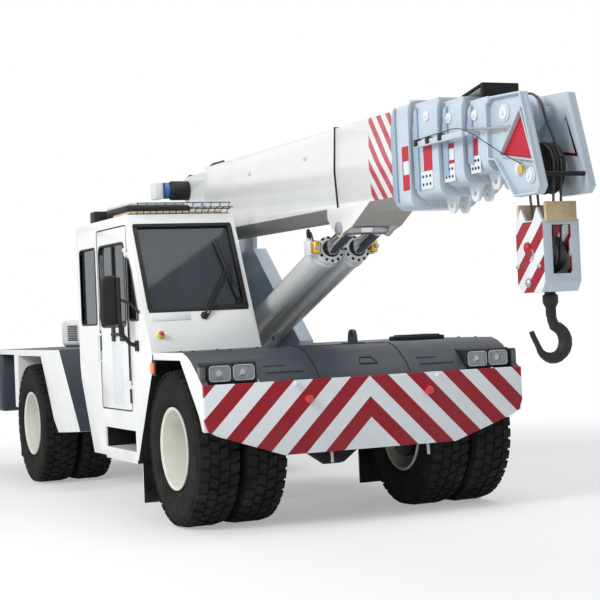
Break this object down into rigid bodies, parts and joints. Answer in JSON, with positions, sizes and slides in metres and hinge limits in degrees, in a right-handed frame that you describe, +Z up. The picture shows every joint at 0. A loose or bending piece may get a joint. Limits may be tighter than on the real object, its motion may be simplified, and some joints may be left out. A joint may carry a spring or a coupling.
{
  "type": "mobile crane",
  "caption": "Articulated pick-and-carry mobile crane with a side cab, twin tyres, a telescopic boom on a rear tower, twin lift cylinders and a hook block.",
  "frame": {"origin": "middle of the footprint, on the ground that the tyres stand on", "axes": "+X forwards to the hook, +Y to the machine's left, +Z up"},
  "size_m": [9.24, 2.758, 2.807],
  "materials": {
    "white": "gloss",
    "charcoal": "satin",
    "black": "satin",
    "rubber": "matt",
    "cream": "satin",
    "boom_grey": "satin",
    "chrome": "polished",
    "iron": "satin",
    "glass": "tinted, gloss",
    "fabric": "matt",
    "plastic": "matt"
  },
  "bodies": {
    "front_chassis": {"front_frame": "charcoal", "front_axle": "black", "boom_tower": "charcoal", "bumper_plate": "white", "front_deck": "white", "headlamp_left": "plastic", "headlamp_right": "plastic", "cab_body": "white", "windscreen": "glass", "glass_quarter": "glass", "glass_rear_side": "glass", "glass_rear": "glass", "glass_left": "glass", "dashboard": "plastic", "seat_cushion": "fabric", "seat_back": "fabric", "mirror_right": "plastic", "roof_air_unit": "plastic", "oil_tank": "charcoal"},
    "rear_chassis": {"rear_frame": "charcoal", "rear_axle": "black", "rear_bodywork": "white", "engine_block": "iron", "counterweight": "charcoal"},
    "engine_hood": {"engine_hood": "white"},
    "lift_barrels": {"lift_barrels": "white"},
    "lift_rods": {"lift_rods": "chrome"},
    "boom": {"boom_base": "white", "winch": "iron"},
    "boom_second": {"boom_section_2": "boom_grey"},
    "boom_third": {"boom_section_3": "boom_grey"},
    "boom_fly": {"boom_section_4": "boom_grey", "boom_head": "boom_grey", "head_sheave": "iron"},
    "hook_block": {"hook_block_body": "white", "hoist_falls": "iron"},
    "hook": {"hook": "iron"},
    "cab_door": {"cab_door_leaf": "white", "cab_door_glass": "glass"},
    "steer_barrel_right": {"steering_barrel_right": "black"},
    "steer_rod_right": {"steering_rod_right": "chrome"},
    "front_wheel_right": {"front_tyre_right_outer": "rubber", "front_tyre_right_inner": "rubber", "front_rim_right": "cream"},
    "rear_wheel_right": {"rear_tyre_right_outer": "rubber", "rear_tyre_right_inner": "rubber", "rear_rim_right": "cream"},
    "steer_barrel_left": {"steering_barrel_left": "black"},
    "steer_rod_left": {"steering_rod_left": "chrome"},
    "front_wheel_left": {"front_tyre_left_outer": "rubber", "front_tyre_left_inner": "rubber", "front_rim_left": "cream"},
    "rear_wheel_left": {"rear_tyre_left_outer": "rubber", "rear_tyre_left_inner": "rubber", "rear_rim_left": "cream"}
  },
  "joints": [
    {"name": "articulation", "type": "hinge", "parent": "front_chassis", "child": "rear_chassis", "pos_m": [-1.6575, 0.136, 0.8], "axis": [0, 0, 1], "range_deg": [-40, 40]},
    {"name": "boom_luff", "type": "hinge", "parent": "front_chassis", "child": "boom", "pos_m": [-0.8375, 0.136, 2.33], "axis": [0, -1, 0], "range_deg": [-3, 60]},
    {"name": "lift_barrel_turn", "type": "hinge", "parent": "front_chassis", "child": "lift_barrels", "pos_m": [-0.6425, 0.136, 1.14], "axis": [0, -1, 0], "range_deg": [-4, 52]},
    {"name": "lift_rod_slide", "type": "slide", "parent": "lift_barrels", "child": "lift_rods", "axis": [0.9424, 0, 0.3346], "range_m": [-0.08, 1.05]},
    {"name": "boom_second_slide", "type": "slide", "parent": "boom", "child": "boom_second", "axis": [1, 0, 0], "range_m": [0, 2.7]},
    {"name": "boom_third_slide", "type": "slide", "parent": "boom_second", "child": "boom_third", "axis": [1, 0, 0], "range_m": [0, 2.7]},
    {"name": "boom_fly_slide", "type": "slide", "parent": "boom_third", "child": "boom_fly", "axis": [1, 0, 0], "range_m": [0, 2.7]},
    {"name": "hook_block_hang", "type": "hinge", "parent": "boom_fly", "child": "hook_block", "pos_m": [4.3625, 0.136, 2.25], "axis": [0, -1, 0], "range_deg": [-61, 4]},
    {"name": "hook_swivel", "type": "hinge", "parent": "hook_block", "child": "hook", "pos_m": [4.3625, 0.136, 1.545], "axis": [0, 0, 1], "continuous": true},
    {"name": "cab_door_swing", "type": "hinge", "parent": "front_chassis", "child": "cab_door", "pos_m": [0.3575, -1.121, 1], "axis": [0, 0, 1], "range_deg": [0, 75]},
    {"name": "engine_hood_lift", "type": "hinge", "parent": "rear_chassis", "child": "engine_hood", "pos_m": [-4.2575, 0.136, 1.2603], "axis": [0, -1, 0], "range_deg": [0, 55]},
    {"name": "front_wheel_right_roll", "type": "hinge", "parent": "front_chassis", "child": "front_wheel_right", "pos_m": [1.2425, -0.9465, 0.5625], "axis": [0, 1, 0], "continuous": true},
    {"name": "front_wheel_left_roll", "type": "hinge", "parent": "front_chassis", "child": "front_wheel_left", "pos_m": [1.2425, 1.2185, 0.5625], "axis": [0, 1, 0], "continuous": true},
    {"name": "rear_wheel_right_roll", "type": "hinge", "parent": "rear_chassis", "child": "rear_wheel_right", "pos_m": [-2.9275, -0.9465, 0.5625], "axis": [0, 1, 0], "continuous": true},
    {"name": "rear_wheel_left_roll", "type": "hinge", "parent": "rear_chassis", "child": "rear_wheel_left", "pos_m": [-2.9275, 1.2185, 0.5625], "axis": [0, 1, 0], "continuous": true},
    {"name": "steer_barrel_right_turn", "type": "hinge", "parent": "front_chassis", "child": "steer_barrel_right", "pos_m": [-0.9575, -0.204, 0.61], "axis": [0, 0, 1], "range_deg": [-13, 13]},
    {"name": "steer_rod_right_slide", "type": "slide", "parent": "steer_barrel_right", "child": "steer_rod_right", "axis": [-1, 0, 0], "range_m": [-0.235, 0.235]},
    {"name": "steer_barrel_left_turn", "type": "hinge", "parent": "front_chassis", "child": "steer_barrel_left", "pos_m": [-0.9575, 0.476, 0.61], "axis": [0, 0, 1], "range_deg": [-13, 13]},
    {"name": "steer_rod_left_slide", "type": "slide", "parent": "steer_barrel_left", "child": "steer_rod_left", "axis": [-1, 0, 0], "range_m": [-0.235, 0.235]}
  ],
  "couplings": [
    {"joint": "steer_barrel_right_turn", "follows": "articulation", "ratio": 0.27992},
    {"joint": "steer_rod_right_slide", "follows": "articulation", "m_per_rad": -0.32944},
    {"joint": "steer_barrel_left_turn", "follows": "articulation", "ratio": 0.27992},
    {"joint": "steer_rod_left_slide", "follows": "articulation", "m_per_rad": 0.32944},
    {"joint": "lift_barrel_turn", "follows": "boom_luff", "ratio": 0.80216},
    {"joint": "lift_rod_slide", "follows": "boom_luff", "m_per_rad": 0.95633},
    {"joint": "hook_block_hang", "follows": "boom_luff", "ratio": -1},
    {"joint": "boom_third_slide", "follows": "boom_second_slide", "ratio": 1},
    {"joint": "boom_fly_slide", "follows": "boom_second_slide", "ratio": 1}
  ]
}
